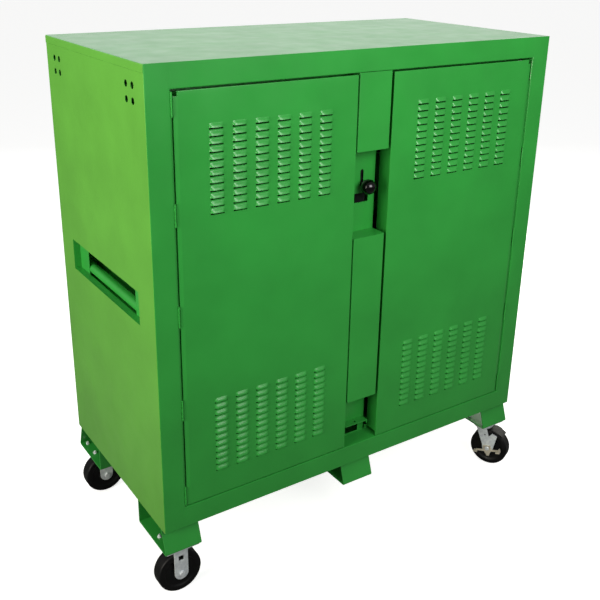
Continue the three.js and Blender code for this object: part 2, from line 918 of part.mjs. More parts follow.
function axle() {
  const reach = legY[1] + clearance;
  const end = reach + axleHeadLength;
  const half = [
    [0, -end],
    [axleHeadRadius, -end],
    [axleHeadRadius, -reach],
    [axleRadius, -reach],
  ];
  const profile = [...half, ...half.map(([r, y]) => [r, -y]).reverse()];
  return new THREE.LatheGeometry(profile.map(([r, y]) => new THREE.Vector2(r, y)), roundSegments);
}

// Fixed half of a swivel caster: plate, upper raceway and kingpin with its nut.
function swivelPlate() {
  const racewayBottom = plateBottom - racewayHeight;
  const crownBottom = racewayBottom - clearance - forkPlate;
  const nutTop = crownBottom - overcut;
  const nutZ = [nutTop - kingpinNutThickness, nutTop];
  return join(
    casterPlateSolid(),
    rod("z", racewayRadius, [racewayBottom, plateBottom + overcut], [0, 0], racewaySegments),
    rod("z", kingpinRadius, [crownBottom - kingpinEnd, racewayBottom + overcut], [0, 0]),
    rod("z", kingpinNutRadius, nutZ, [0, 0], 6),
  );
}

const crownTop = plateBottom - racewayHeight - clearance;

// A point at a distance and an angle from the axle of a swivel caster.
function aboutAxle(radius, degrees) {
  const angle = THREE.MathUtils.degToRad(degrees);
  return [casterTrail + radius * Math.cos(angle), wheelRadius + radius * Math.sin(angle)];
}

// Raked fork: a crown under the raceway and two forked legs that reach forward to the axle.
function swivelFork() {
  const crownZ = [crownTop - forkPlate, crownTop];
  const crown = rod("z", crownRadius, crownZ, [0, 0], racewaySegments);
  const wings = block([-crownRear, crownFront], [-legY[1], legY[1]], crownZ);
  const axleX = casterTrail;
  const eyeRear = axleX - eyeRadius;
  const face = new THREE.Shape();
  face.moveTo(-crownRear, crownTop);
  face.lineTo(eyeRear - eyeShoulderSetback, wheelRadius + eyeShoulderRise);
  face.lineTo(eyeRear, wheelRadius);
  face.absarc(axleX, wheelRadius, eyeRadius, Math.PI, 2 * Math.PI, false);
  hornAngles.forEach((angle) => face.lineTo(...aboutAxle(wheelRadius - hornSetback, angle)));
  face.lineTo(...aboutAxle(wheelRadius - notchSetback, notchAngle));
  face.lineTo(crownFront, crownTop);
  const legs = [[-legY[1], -legY[0]], legY].map((spanY) => extrudeFace(face, spanY));
  const through = grow([-legY[1], legY[1]], overcut);
  return cut(
    join(crown, wings, ...legs),
    rod("z", kingpinRadius + runningClearance, grow(crownZ, overcut), [0, 0]),
    rod("y", axleRadius + runningClearance, through, [axleX, wheelRadius]),
    rod(
      "y",
      drainHole.radius,
      through,
      [axleX - drainHole.behindAxle, wheelRadius + drainHole.aboveAxle],
      smallRoundSegments,
    ),
  );
}

// Part of a ring about the axle, between two angles from the X axis.
function ringPart(inner, outer, [from, to], spanY) {
  const start = THREE.MathUtils.degToRad(from);
  const end = THREE.MathUtils.degToRad(to);
  const arc = new THREE.Shape();
  arc.absarc(casterTrail, wheelRadius, outer, start, end, true);
  arc.absarc(casterTrail, wheelRadius, inner, end, start, false);
  return extrudeFace(arc, spanY);
}

// Curved shoe over the tread, hung by two ears inside the fork legs.
function brakeShoe() {
  const inner = wheelRadius + shoeClearance;
  const outer = inner + shoeThickness;
  const earInner = wheelWidth / 2 + earGap;
  const earOuter = earInner + earThickness;
  const band = ringPart(inner, outer, shoeAngles, [-shoeHalfWidth, shoeHalfWidth]);
  const yoke = ringPart(inner, outer, yokeAngles, [-earOuter, earOuter]);
  const ear = outline([
    aboutAxle(wheelRadius - earTip.rearDepth, earTip.rearAngle),
    aboutAxle(wheelRadius - earTip.frontDepth, earTip.frontAngle),
    aboutAxle(inner + overcut, yokeAngles[1]),
    aboutAxle(inner + overcut, yokeAngles[0]),
  ]);
  const ears = [[-earOuter, -earInner], [earInner, earOuter]];
  return join(band, yoke, ...ears.map((spanY) => extrudeFace(ear, spanY)));
}

// Double-ended foot pedal that rocks about the axle's head, outside the fork.
function brakePedal() {
  const innerY = -legY[1] - pedalGap;
  const outerY = innerY - pedalThickness;
  const spanY = [outerY, innerY];
  const x = casterTrail;
  const z = wheelRadius;
  const plate = outline([
    [x - pedalTop.half, z + pedalTop.rise],
    [x - pedalWaist.half, z - pedalWaist.drop],
    [x - pedalToe.half, z - pedalToe.drop],
    [x + pedalToe.half, z - pedalToe.drop],
    [x + pedalWaist.half, z - pedalWaist.drop],
    [x + pedalTop.half, z + pedalTop.rise],
  ]);
  const armTop = z - pedalArmDrop;
  const armBase = armTop - pedalArmHeight;
  const rearX = x - pedalReach;
  const frontX = x + pedalReach;
  const middleOfPad = padLength / 2;
  const arms = block([rearX + middleOfPad, frontX - middleOfPad], spanY, [armBase, armTop]);
  const padY = [outerY - padOverhang, innerY];
  const padZ = [armBase, armBase + padThickness];
  const rearPad = block([rearX, rearX + padLength], padY, padZ);
  const frontPad = block([frontX - padLength, frontX], padY, padZ);
  const upturn = block([frontX - padThickness, frontX], padY, [armBase, z + upturnRise]);
  const boreY = grow(padY, overcut);
  const bore = rod("y", axleHeadRadius + runningClearance, boreY, [x, z]);
  const level = cut(join(extrudeFace(plate, spanY), arms, rearPad, frontPad, upturn), bore);
  return level.translate([-x, 0, -z]).rotate([0, -pedalTilt, 0]).translate([x, 0, z]);
}

// ---------------------------------------------------------------- assembly

function placeLathe(group, name, finish, geometry, trail) {
  const mesh = new THREE.Mesh(
    toGeometry(toSolid(geometry)),
    new THREE.MeshStandardMaterial(finishes[finish]),
  );
  mesh.name = name;
  mesh.position.set(trail, 0, wheelRadius);
  group.add(mesh);
}

function addShell(cabinet) {
  place(cabinet, "left_side_panel", "paint", sidePanel(-1));
  place(cabinet, "right_side_panel", "paint", sidePanel(1));
  place(cabinet, "top_panel", "paint", topPanel());
  place(cabinet, "back_panel", "paint", backPanel());
  place(cabinet, "floor_panel", "paint", floorPanel());
  place(cabinet, "front_header", "paint", frontHeader());
  place(cabinet, "front_sill", "paint", frontSill());
}

function addPost(cabinet) {
  place(cabinet, "centre_post", "paint", centrePost());
  const upper = [postTop - upperCoverHeight, postTop];
  place(cabinet, "upper_post_cover", "paint", postCover(upper, [upper[0], upper[0] + sheet]));
  const lower = [lowerCoverBottom, lowerCoverTop];
  place(cabinet, "lock_cover", "paint", postCover(lower, [lower[1] - sheet, lower[1]]));
  place(cabinet, "padlock_bracket", "paint", padlockBracket());
}

function addLock(cabinet) {
  place(cabinet, "lock_bar", "blackSteel", lockBar());
  place(cabinet, "lower_cross_arm", "blackSteel", crossArm(keeperHeights[0]));
  place(cabinet, "upper_cross_arm", "blackSteel", crossArm(keeperHeights[1]));
  place(cabinet, "knob_stem", "blackSteel", knobStem());
  place(cabinet, "knob_ball", "knob", knobBall());
}

function addDoor(cabinet, name, side, freeEdge) {
  const door = new THREE.Group();
  door.position.set(side * hingeX, frontY, 0);
  const width = hingeX - Math.abs(freeEdge) - doorGap / 2;
  place(door, `${name}_door`, "paint", doorPan(side, width));
  place(door, `${name}_hinge_frame_leaf`, "paint", frameLeaf(side));
  place(door, `${name}_hinge_door_leaf`, "paint", doorLeaf(side));
  const keeperX = (side < 0 ? leftKeeperX : rightKeeperX) - side * hingeX;
  place(door, `${name}_lower_keeper`, "paint", keeper(keeperX, keeperHeights[0]));
  place(door, `${name}_upper_keeper`, "paint", keeper(keeperX, keeperHeights[1]));
  cabinet.add(door);
}

function addSides(cabinet) {
  for (const [name, side] of [["left", -1], ["right", 1]]) {
    place(cabinet, `${name}_handle_pocket`, "paint", handlePocket(side));
    place(cabinet, `${name}_handle_bar`, "paint", handleBar(side));
    place(cabinet, `${name}_shelf_frame`, "interior", shelfFrame(side));
  }
}

function addShelves(cabinet) {
  const names = ["lower_shelf", "middle_shelf", "upper_shelf"];
  shelfHeights.forEach((top, i) => place(cabinet, names[i], "interior", shelf(top)));
}

const cornerSkidX = halfWidth - skidWidth / 2;

function addSkids(cabinet) {
  for (const [end, endName] of [[-1, "front"], [1, "rear"]]) {
    place(cabinet, `${endName}_left_skid`, "paint", skid(-cornerSkidX, end));
    place(cabinet, `${endName}_middle_skid`, "paint", skid(0, end));
    place(cabinet, `${endName}_right_skid`, "paint", skid(cornerSkidX, end));
  }
}

const casterX = halfWidth - casterInsetX;
const casterY = halfDepth - casterInsetY;

function addRigidCaster(root, name, end) {
  const caster = new THREE.Group();
  caster.position.set(-casterX, end * casterY, 0);
  place(caster, `${name}_caster_fork`, "zinc", rigidFork());
  placeLathe(caster, `${name}_axle`, "zinc", axle(), 0);
  placeLathe(caster, `${name}_wheel`, "rubber", wheel(), 0);
  root.add(caster);
}

function addSwivelCaster(root, name, end) {
  const caster = new THREE.Group();
  caster.position.set(casterX, end * casterY, 0);
  place(caster, `${name}_caster_plate`, "zinc", swivelPlate());
  const swivel = new THREE.Group();
  swivel.rotation.z = swivelAngle;
  place(swivel, `${name}_caster_fork`, "zinc", swivelFork());
  placeLathe(swivel, `${name}_axle`, "zinc", axle(), casterTrail);
  placeLathe(swivel, `${name}_wheel`, "rubber", wheel(), casterTrail);
  place(swivel, `${name}_brake_shoe`, "blackSteel", brakeShoe());
  place(swivel, `${name}_brake_pedal`, "zinc", brakePedal());
  caster.add(swivel);
  root.add(caster);
}

function storageCabinet() {
  const root = new THREE.Group();
  const cabinet = new THREE.Group();
  cabinet.position.z = undersideZ;
  addShell(cabinet);
  addPost(cabinet);
  addLock(cabinet);
  addDoor(cabinet, "left", -1, leftDoorEdge);
  addDoor(cabinet, "right", 1, rightDoorEdge);
  addSides(cabinet);
  addShelves(cabinet);
  addSkids(cabinet);
  root.add(cabinet);
  addRigidCaster(root, "front_left", -1);
  addRigidCaster(root, "rear_left", 1);
  addSwivelCaster(root, "front_right", -1);
  addSwivelCaster(root, "rear_right", 1);
  return root;
}

export default storageCabinet();
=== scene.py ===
"""Green two-door rolling storage cabinet: its finished look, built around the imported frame."""

import json
import math

import bmesh
import bpy
from mathutils import Matrix, Vector

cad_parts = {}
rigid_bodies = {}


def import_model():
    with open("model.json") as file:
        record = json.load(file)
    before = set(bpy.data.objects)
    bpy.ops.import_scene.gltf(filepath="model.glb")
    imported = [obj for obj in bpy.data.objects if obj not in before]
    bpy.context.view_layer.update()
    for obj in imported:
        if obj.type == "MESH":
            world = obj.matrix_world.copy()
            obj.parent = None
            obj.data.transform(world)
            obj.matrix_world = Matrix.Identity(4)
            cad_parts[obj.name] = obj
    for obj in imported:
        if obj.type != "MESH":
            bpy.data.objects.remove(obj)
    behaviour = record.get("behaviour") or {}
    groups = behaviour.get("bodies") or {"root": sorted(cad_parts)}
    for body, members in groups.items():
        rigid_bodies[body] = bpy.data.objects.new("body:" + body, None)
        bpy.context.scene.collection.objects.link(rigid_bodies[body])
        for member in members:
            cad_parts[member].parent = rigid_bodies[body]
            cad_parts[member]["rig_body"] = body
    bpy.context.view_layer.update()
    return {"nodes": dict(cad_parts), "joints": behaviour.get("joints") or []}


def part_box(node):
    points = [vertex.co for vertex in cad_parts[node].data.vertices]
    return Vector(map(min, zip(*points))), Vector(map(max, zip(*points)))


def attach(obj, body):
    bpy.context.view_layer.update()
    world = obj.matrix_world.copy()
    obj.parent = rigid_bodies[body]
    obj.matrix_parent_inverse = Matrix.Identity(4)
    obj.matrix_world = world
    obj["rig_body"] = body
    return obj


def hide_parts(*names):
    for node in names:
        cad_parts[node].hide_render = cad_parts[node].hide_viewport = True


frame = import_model()

bl_info = {
    "name": "Rolling Storage Cabinet",
    "version": (1, 0, 0),
    "blender": (4, 5, 0),
    "location": "View3D > Sidebar > Cabinet",
    "description": "Builds the finished surfaces of a sheet-steel storage cabinet around its frame",
    "category": "Object",
}

MM = 0.001
WELD = 1e-5
SIDES = {"left": 1, "right": -1}
CORNERS = ("front_left", "rear_left", "front_right", "rear_right")
SWIVELS = ("front_right", "rear_right")

# The share of its light that the floor gives back to the cabinet, its glow to the camera, and the
# strength of the white room's light on the cabinet.
FLOOR_BOUNCE = 0.22
FLOOR_GLOW = 0.72
ROOM_LIGHT = 0.24


# ---------------------------------------------------------------- settings


def linear(code):
    """The linear RGB of an sRGB hex colour."""
    channels = [int(code[i:i + 2], 16) / 255 for i in (1, 3, 5)]
    return tuple(c / 12.92 if c <= 0.04045 else ((c + 0.055) / 1.055) ** 2.4 for c in channels)


def colour(name, description, code):
    """A colour property whose default is an sRGB hex value."""
    return bpy.props.FloatVectorProperty(
        name=name, description=description, subtype="COLOR", size=3, min=0, max=1, default=linear(code)
    )


def length(name, description, millimetres):
    """A length property whose default is in millimetres."""
    return bpy.props.FloatProperty(
        name=name, description=description, default=millimetres * MM, min=0, unit="LENGTH"
    )


class CabinetFinishSettings(bpy.types.PropertyGroup):
    """Colours of the cabinet's finishes."""

    front_green: colour("Front green", "Powder coat on the doors, frame and skids", "#32a03e")
    # The side green is the front coat painted lighter and yellower: painted light, standing for the light
    # that falls on the sides.
    side_green_painted_light: colour("Side green", "Powder coat on the side sheets and the lid", "#5fa83c")
    # The inside green is the front coat painted darker: painted shade, standing for the shade inside the
    # cabinet.
    inside_green_painted_shade: colour("Inside green", "Powder coat on the shelves and their frames", "#128a34")
    zinc: colour("Zinc plate", "Bright zinc on the caster forks and bolts", "#eef5fb")
    chromate: colour("Yellow zinc", "Warm passivated zinc on the brake pedals", "#e2d9c4")
    rubber: colour("Rubber", "Hard black rubber of the wheels", "#040405")
    phenolic: colour("Knob", "Black phenolic of the ball knob", "#050505")
    oxide: colour("Black oxide", "Blackened steel of the lock bar", "#191b1c")
    floor: colour("Floor", "Pale studio floor", "#f2f2f0")


class DoorSkinSettings(bpy.types.PropertyGroup):
    """Sizes of the pressed door sheets and their louvres."""

    sheet: length("Sheet", "Thickness of the door sheet", 2)
    bend: length("Bend radius", "Outer radius of the bends round each door", 1.6)
    hinge_lip: length("Hinge lip", "Width of the lip behind the hinge edge", 24)
    free_lip: length("Free lip", "Width of the lip behind the free edge", 44)
    lip_mitre: length("Lip mitre", "How much shorter each lip is at its inner edge", 4)
    slope_width: length("Slope width", "Width of the set-back strip beside the hinges", 12)
    slope_depth: length("Slope depth", "How far the strip falls back at the hinge edge", 2)
    notch: length("Notch", "Height of the corner notch above the strip", 14)
    hem: length("Hem", "Width of the folded hem round the sheet", 8)
    hem_depth: length("Hem depth", "Thickness of the folded hem", 5)
    hinge_gap: length("Hinge gap", "How far the sheet stands in from the door's hinge edge", 3)
    top_gap: length("Top gap", "How far the sheet stands down from the door's top", 1.6)
    block_shift: length("Block shift", "How far right of a door's middle its louvre blocks stand", 5.5)
    louvre_width: length("Louvre width", "Width of one louvre", 45)
    louvre_height: length("Louvre height", "Height of one louvre above its lip", 13.2)
    louvre_depth: length("Louvre depth", "How far a louvre stands out", 6.5)
    louvre_slot: length("Louvre slot", "Height of the open slot under a louvre's lip", 5.6)
    column_pitch: length("Column pitch", "Distance between louvre columns", 74)
    row_pitch: length("Row pitch", "Distance between louvre rows", 22.2)
    block_inset: length("Block inset", "From the door's end to the middle of a louvre block", 222.5)
    columns: bpy.props.IntProperty(name="Columns", description="Louvre columns in a block", default=6, min=1)
    rows: bpy.props.IntProperty(name="Rows", description="Louvre rows in a block", default=12, min=1)


class HardwareSettings(bpy.types.PropertyGroup):
    """Sizes of the caster plates' bolts, and the rounding of plate edges."""

    bolt_hex: length("Bolt hexagon", "Radius over the corners of a plate bolt's hexagon", 6.3)
    bolt_height: length("Bolt head height", "Height of a plate bolt's head and nut", 4.6)
    bolt_radius: length("Bolt radius", "Radius of a plate bolt's thread", 4)
    bolt_x: length("Bolt spacing X", "Half the bolt spacing of a caster plate along X", 42)
    bolt_y: length("Bolt spacing Y", "Half the bolt spacing of a caster plate along Y", 38)
    washer: length("Washer radius", "Radius of the washers under the nuts", 7.6)
    edge: length("Edge radius", "Rounding of the plates' sharp edges", 0.7)


# ---------------------------------------------------------------- materials


def add_node(tree, kind, settings=None, links=None):
    """Adds a shader node, sets its properties and inputs, and links its inputs to other sockets."""
    node = tree.nodes.new(kind)
    for key, value in (settings or {}).items():
        if isinstance(key, str) and hasattr(node, key):
            setattr(node, key, value)
        else:
            node.inputs[key].default_value = value
    for key, socket in (links or {}).items():
        tree.links.new(socket, node.inputs[key])
    return node


def start_material(name):
    """An empty material with its tree, its Object coordinates and its output node."""
    material = bpy.data.materials.new(name)
    material.use_nodes = True
    tree = material.node_tree
    tree.nodes.clear()
    place = add_node(tree, "ShaderNodeTexCoord").outputs["Object"]
    output = add_node(tree, "ShaderNodeOutputMaterial")
    return material, tree, place, output


def noise(tree, place, size, detail=2.0, roughness=0.5, stretch=None):
    """Noise whose lumps are size metres across."""
    if stretch:
        place = add_node(tree, "ShaderNodeMapping", {"Scale": stretch}, {"Vector": place}).outputs[0]
    settings = {"Scale": 1 / size, "Detail": detail, "Roughness": roughness}
    return add_node(tree, "ShaderNodeTexNoise", settings, {"Vector": place}).outputs["Fac"]


def ranged(tree, value, low, high, start=0.3, end=0.7):
    """A value taken from the range start to end onto the range low to high."""
    settings = {"From Min": start, "From Max": end, "To Min": low, "To Max": high}
    return add_node(tree, "ShaderNodeMapRange", settings, {"Value": value}).outputs["Result"]


def shaded(tree, factor, rgb, low, high):
    """A colour that varies between low and high times its brightness."""
    ends = {6: tuple(c * low for c in rgb) + (1,), 7: tuple(min(c * high, 1) for c in rgb) + (1,)}
    node = add_node(tree, "ShaderNodeMix", {"data_type": "RGBA", **ends}, {0: factor})
    return node.outputs[2]


def bump(tree, height, depth, normal=None):
    """A bump of a real depth in metres, laid over another bump if there is one."""
    links = {"Height": height} | ({"Normal": normal} if normal else {})
    return add_node(tree, "ShaderNodeBump", {"Strength": 1.0, "Distance": depth}, links).outputs[0]


def powder_coat(name, rgb, gloss=0.2):
    """Polyester powder coat, baked on steel: deep glossy colour that flows into a soft orange peel."""
    material, tree, place, output = start_material(name)
    # Film thickness drifts over a hand's width, which shades the colour by a few per cent.
    drift = ranged(tree, noise(tree, place, 160 * MM, 3), 0, 1)
    # Orange peel: 5 mm ripples over the long, shallow waves that any thin sheet keeps.
    waves = bump(tree, noise(tree, place, 120 * MM, 1), 0.08 * MM)
    peel = bump(tree, noise(tree, place, 5 * MM, 2), 0.008 * MM, waves)
    rough = ranged(tree, noise(tree, place, 70 * MM, 4), 0.3, 0.38)
    shader = add_node(
        tree,
        "ShaderNodeBsdfPrincipled",
        {"IOR": 1.5, "Coat Weight": gloss, "Coat Roughness": 0.1, "Coat IOR": 1.5},
        {"Base Color": shaded(tree, drift, rgb, 0.93, 1.06), "Roughness": rough, "Normal": peel},
    )
    tree.links.new(peel, shader.inputs["Coat Normal"])
    tree.links.new(shader.outputs[0], output.inputs["Surface"])
    return material


def zinc_plate(name, rgb):
    """Bright electroplated zinc on pressed steel: cool and half glossy, with clouded passivation."""
    material, tree, place, output = start_material(name)
    cloud = ranged(tree, noise(tree, place, 14 * MM, 4, 0.6), 0, 1)
    # Rolling marks of the strip under the plating. Real ones are under 1 mm apart, and these 6 mm.
    marks = bump(tree, noise(tree, place, 6 * MM, 3, 0.6, (1, 1, 0.25)), 0.05 * MM)
    shader = add_node(
        tree,
        "ShaderNodeBsdfPrincipled",
        {"Metallic": 0.3},
        {
            "Base Color": shaded(tree, cloud, rgb, 0.78, 1.1),
            "Roughness": ranged(tree, noise(tree, place, 9 * MM, 3), 0.3, 0.46),
            "Normal": marks,
        },
    )
    tree.links.new(shader.outputs[0], output.inputs["Surface"])
    return material


def black_oxide(name, rgb):
    """Hot-blackened mild steel: a thin oxide that leaves the metal dark and faintly oily."""
    material, tree, place, output = start_material(name)
    shader = add_node(
        tree,
        "ShaderNodeBsdfPrincipled",
        {"Metallic": 0.6},
        {
            "Base Color": shaded(tree, ranged(tree, noise(tree, place, 20 * MM, 4), 0, 1), rgb, 0.7, 1.4),
            "Roughness": ranged(tree, noise(tree, place, 8 * MM, 3), 0.36, 0.55),
            "Normal": bump(tree, noise(tree, place, 2 * MM, 3), 0.03 * MM),
        },
    )
    tree.links.new(shader.outputs[0], output.inputs["Surface"])
    return material


def moulded_black(name, rgb, rough_low, rough_high, grain, depth, shine=0.5):
    """Black moulded polymer with the grain of its mould, drawn coarse enough to show."""
    material, tree, place, output = start_material(name)
    shader = add_node(
        tree,
        "ShaderNodeBsdfPrincipled",
        {"IOR": 1.5, "Specular IOR Level": shine},
        {
            "Base Color": shaded(tree, ranged(tree, noise(tree, place, 30 * MM, 4), 0, 1), rgb, 0.75, 1.5),
            "Roughness": ranged(tree, noise(tree, place, 12 * MM, 4), rough_low, rough_high),
            "Normal": bump(tree, noise(tree, place, grain, 3, 0.6), depth),
        },
    )
    tree.links.new(shader.outputs[0], output.inputs["Surface"])
    return material


def studio_floor(name, rgb):
    """Matt painted studio floor: nearly white to the camera, but dim in what the cabinet mirrors."""
    material, tree, place, output = start_material(name)
    seen = add_node(tree, "ShaderNodeLightPath").outputs["Is Camera Ray"]
    shader = add_node(
        tree,
        "ShaderNodeBsdfPrincipled",
        {"Emission Color": (1, 1, 1, 1), "Specular IOR Level": 0.1},
        {
            "Base Color": shaded(tree, seen, rgb, FLOOR_BOUNCE, 1),
            "Emission Strength": ranged(tree, seen, 0, FLOOR_GLOW, 0, 1),
            "Roughness": ranged(tree, noise(tree, place, 90 * MM, 3), 0.75, 0.9),
        },
    )
    tree.links.new(shader.outputs[0], output.inputs["Surface"])
    return material


FINISHES = {}


def make_finishes(settings):
    """All the cabinet's materials, each named for what it really is. The side coat is the front coat painted
    lighter and yellower: painted light, for the light that falls on the sides.
    """
    FINISHES.update(
        front=powder_coat("green_polyester_powder_coat_front", settings.front_green),
        side=powder_coat("green_powder_coat_side_painted_light", settings.side_green_painted_light),
        inside=powder_coat("green_powder_coat_inside_painted_shade", settings.inside_green_painted_shade, 0.1),
        zinc=zinc_plate("bright_zinc_electroplate", settings.zinc),
        chromate=zinc_plate("yellow_passivated_zinc", settings.chromate),
        oxide=black_oxide("hot_blackened_mild_steel", settings.oxide),
        rubber=moulded_black(
            "moulded_hard_black_rubber", settings.rubber, 0.36, 0.55, 3 * MM, 0.05 * MM, 0.3
        ),
        knob=moulded_black("polished_black_phenolic", settings.phenolic, 0.06, 0.12, 9 * MM, 0.01 * MM),
    )


# ---------------------------------------------------------------- mesh helpers


def mark_sharp(bm, degrees):
    """Marks the edges that turn by more than an angle, and keeps those marked before."""
    for edge in bm.edges:
        if len(edge.link_faces) == 2 and edge.calc_face_angle(0) > math.radians(degrees):
            edge.smooth = False


def finish_piece(name, bm, finish, body, replaces=(), sharp=35, recalculate=True):
    """Turns a bmesh into an object that rides on a CAD body."""
    if recalculate:
        bmesh.ops.recalc_face_normals(bm, faces=bm.faces)
    mark_sharp(bm, sharp)
    for face in bm.faces:
        face.smooth = True
    mesh = bpy.data.meshes.new(name)
    bm.to_mesh(mesh)
    bm.free()
    for key in [finish] if isinstance(finish, str) else finish:
        mesh.materials.append(FINISHES[key])
    piece = bpy.data.objects.new(name, mesh)
    bpy.context.scene.collection.objects.link(piece)
    even = piece.modifiers.new("even_shading", "WEIGHTED_NORMAL")
    even.keep_sharp = True
    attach(piece, body)
    if replaces:
        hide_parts(*replaces)
    return piece


def round_edges(bm, edges, radius, segments=2):
    """Rounds some edges."""
    bmesh.ops.bevel(
        bm,
        geom=list(edges),
        offset=radius,
        offset_type="OFFSET",
        segments=segments,
        profile=0.5,
        affect="EDGES",
        clamp_overlap=True,
        material=-1,
    )


def add_box(bm, low, high, radius=0.0, segments=2):
    """Adds a box between two corners, with rounded edges."""
    verts = bmesh.ops.create_cube(bm, size=1)["verts"]
    low, high = Vector(low), Vector(high)
    bmesh.ops.scale(bm, vec=high - low, verts=verts)
    bmesh.ops.translate(bm, vec=(low + high) / 2, verts=verts)
    if radius:
        round_edges(bm, {edge for vert in verts for edge in vert.link_edges}, radius, segments)


def add_spun(bm, profile, centre, axis, steps, ring=False):
    """Spins a profile of (radius, distance along the axis) points into a closed body."""
    axis = Vector(axis).normalized()
    across = axis.orthogonal().normalized()
    centre = Vector(centre)
    verts = [bm.verts.new(centre + across * radius + axis * along) for radius, along in profile]
    edges = [bm.edges.new(pair) for pair in zip(verts, verts[1:])]
    if ring:
        edges.append(bm.edges.new((verts[-1], verts[0])))
    bmesh.ops.spin(
        bm, geom=verts + edges, cent=centre, axis=axis, angle=math.tau, steps=steps, use_merge=True
    )
    bmesh.ops.remove_doubles(bm, verts=bm.verts, dist=WELD)


def turned_to(axis, centre):
    """The matrix that stands a Z-up shape on a centre, along an axis."""
    return Matrix.Translation(centre) @ Vector(axis).to_track_quat("Z", "Y").to_matrix().to_4x4()


def add_disc(bm, centre, axis, radius, height, segments, chamfer=0.0):
    """Adds an upright prism or disc from a centre along an axis, its far rim chamfered."""
    middle = Vector(centre) + Vector(axis).normalized() * height / 2
    made = bmesh.ops.create_cone(
        bm,
        cap_ends=True,
        segments=segments,
        radius1=radius,
        radius2=radius,
        depth=height,
        matrix=turned_to(axis, middle),
    )
    if chamfer:
        tops = {
            edge
            for vert in made["verts"]
            for edge in vert.link_edges
            if all((v.co - middle).dot(Vector(axis)) > 0 for v in edge.verts)
        }
        round_edges(bm, tops, chamfer, 1)


def copy_of_node(node):
    """A CAD node's mesh with its loose triangles merged and its flat faces dissolved."""
    bm = bmesh.new()
    bm.from_mesh(frame["nodes"][node].data)
    bmesh.ops.remove_doubles(bm, verts=bm.verts, dist=WELD)
    bmesh.ops.dissolve_limit(
        bm, angle_limit=math.radians(0.5), verts=bm.verts, edges=bm.edges, delimit={"NORMAL"}
    )
    return bm


def eased_copy(node, radius, finish, body, flush=None, longer=0.0):
    """A plate of the frame with its sharp edges eased, standing for its CAD node.

    With two finishes, the second one, a lighter copy of the first painted to stand for the light on
    the sides, covers the faces that look out to the left or right. The edges of which flush says yes
    stay sharp, because they butt against another sheet. A plate made longer by some metres at each
    end closes the joints that are welded and ground flush.
    """
    bm = copy_of_node(node)
    reach = max(abs(vert.co.x) for vert in bm.verts)
    bmesh.ops.scale(bm, vec=((reach + longer) / reach, 1, 1), verts=bm.verts)
    limit = math.radians(55)
    edges = [e for e in bm.edges if len(e.link_faces) == 2 and e.calc_face_angle(0) > limit]
    round_edges(bm, [e for e in edges if not (flush and flush(e))], radius)
    # The second finish is painted lighter and yellower than the first: painted light for the faces that look
    # left or right.
    if not isinstance(finish, str):
        for face in bm.faces:
            outward = face.normal.x * math.copysign(1, face.calc_center_median().x)
            face.material_index = int(outward > 0.7)
    return finish_piece(f"{node}_plate", bm, finish, body, (node,), sharp=40, recalculate=False)


def paint_nodes(nodes, finish):
    """Gives CAD nodes a finish in place of their plain one."""
    for node in nodes:
        piece = frame["nodes"][node]
        piece.data.materials.clear()
        piece.data.materials.append(FINISHES[finish])


# ---------------------------------------------------------------- door skins


def louvre_lines(middle, settings):
    """Distances across a door of the lines that shape one column of louvres."""
    half = settings.louvre_width / 2
    return [middle + half * share for share in (-1, -0.93, -0.78, -0.5, 0, 0.5, 0.78, 0.93, 1)]


def hood_lines(lip, settings):
    """Heights of the lines that shape one louvre, from the foot of its slot to its top."""
    rise = settings.louvre_height
    return [lip - settings.louvre_slot] + [lip + rise * share for share in (0, 0.25, 0.5, 0.75, 0.92, 1)]


def hood_stand_out(across, up, settings):
    """How far a louvre stands out, from its shares across (-1 to 1) and up (0 at the lip to 1).

    It is full over its middle and rounds off over the last share of each half. The power under 1
    keeps the ends blunt, and the one over 1 makes the top run out thin.
    """
    end = 0.4
    past = min(max(abs(across) - (1 - end), 0) / end, 1)
    return settings.louvre_depth * math.cos(past * math.pi / 2) ** 0.8 * math.cos(up * math.pi / 2) ** 1.3


def door_lines(width, shift, bottom, top, front, back, settings):
    """The lines of a door's sheet, unrolled from lip to lip, with its louvres' columns and lips.

    Lines across the sheet are (x, y) pairs that start with the hinge lip. Lines up it are heights.
    """
    span = (settings.columns - 1) / 2
    middle = width / 2 + shift
    columns = [middle + (i - span) * settings.column_pitch for i in range(settings.columns)]
    block = (settings.rows - 1) * settings.row_pitch + settings.louvre_height
    lips = []
    for height in (bottom + settings.block_inset, top - settings.block_inset):
        lips += [height - block / 2 + i * settings.row_pitch for i in range(settings.rows)]
    strip = front + settings.slope_depth
    hinge_side = [
        (settings.hem + settings.hinge_lip, back),
        (settings.hem, back),
        (settings.hem, strip + settings.hem_depth),
        (0, strip + settings.hem_depth),
        (0, strip),
        (settings.slope_width, front),
    ]
    face = [(x, front) for column in columns for x in louvre_lines(column, settings)]
    inner = width - settings.hem
    free_side = [
        (width, front),
        (width, front + settings.hem_depth),
        (inner, front + settings.hem_depth),
        (inner, back),
        (inner - settings.free_lip, back),
    ]
    up = [bottom, top - settings.notch, top] + [z for lip in lips for z in hood_lines(lip, settings)]
    return columns, lips, hinge_side + face + free_side, sorted(up)


def press_louvres(bm, columns, lips, settings):
    """Opens a slot under each louvre's lip and draws its hood out of the sheet."""
    half, rise, slot = settings.louvre_width / 2, settings.louvre_height, settings.louvre_slot

    def column_of(x):
        return next((c for c in columns if abs(x - c) < half + WELD), None)

    def lip_of(z):
        return next((lip for lip in lips if lip - slot - WELD < z < lip + rise + WELD), None)

    open_faces = []
    for face in bm.faces:
        middle = face.calc_center_median()
        lip = lip_of(middle.z)
        if lip is not None and middle.z < lip and column_of(middle.x) is not None:
            open_faces.append(face)
    bmesh.ops.delete(bm, geom=open_faces, context="FACES")
    for vert in bm.verts:
        column, lip = column_of(vert.co.x), lip_of(vert.co.z)
        if column is not None and lip is not None and vert.co.z > lip - WELD:
            share = ((vert.co.x - column) / half, min(max((vert.co.z - lip) / rise, 0), 1))
            vert.co.y -= hood_stand_out(*share, settings)


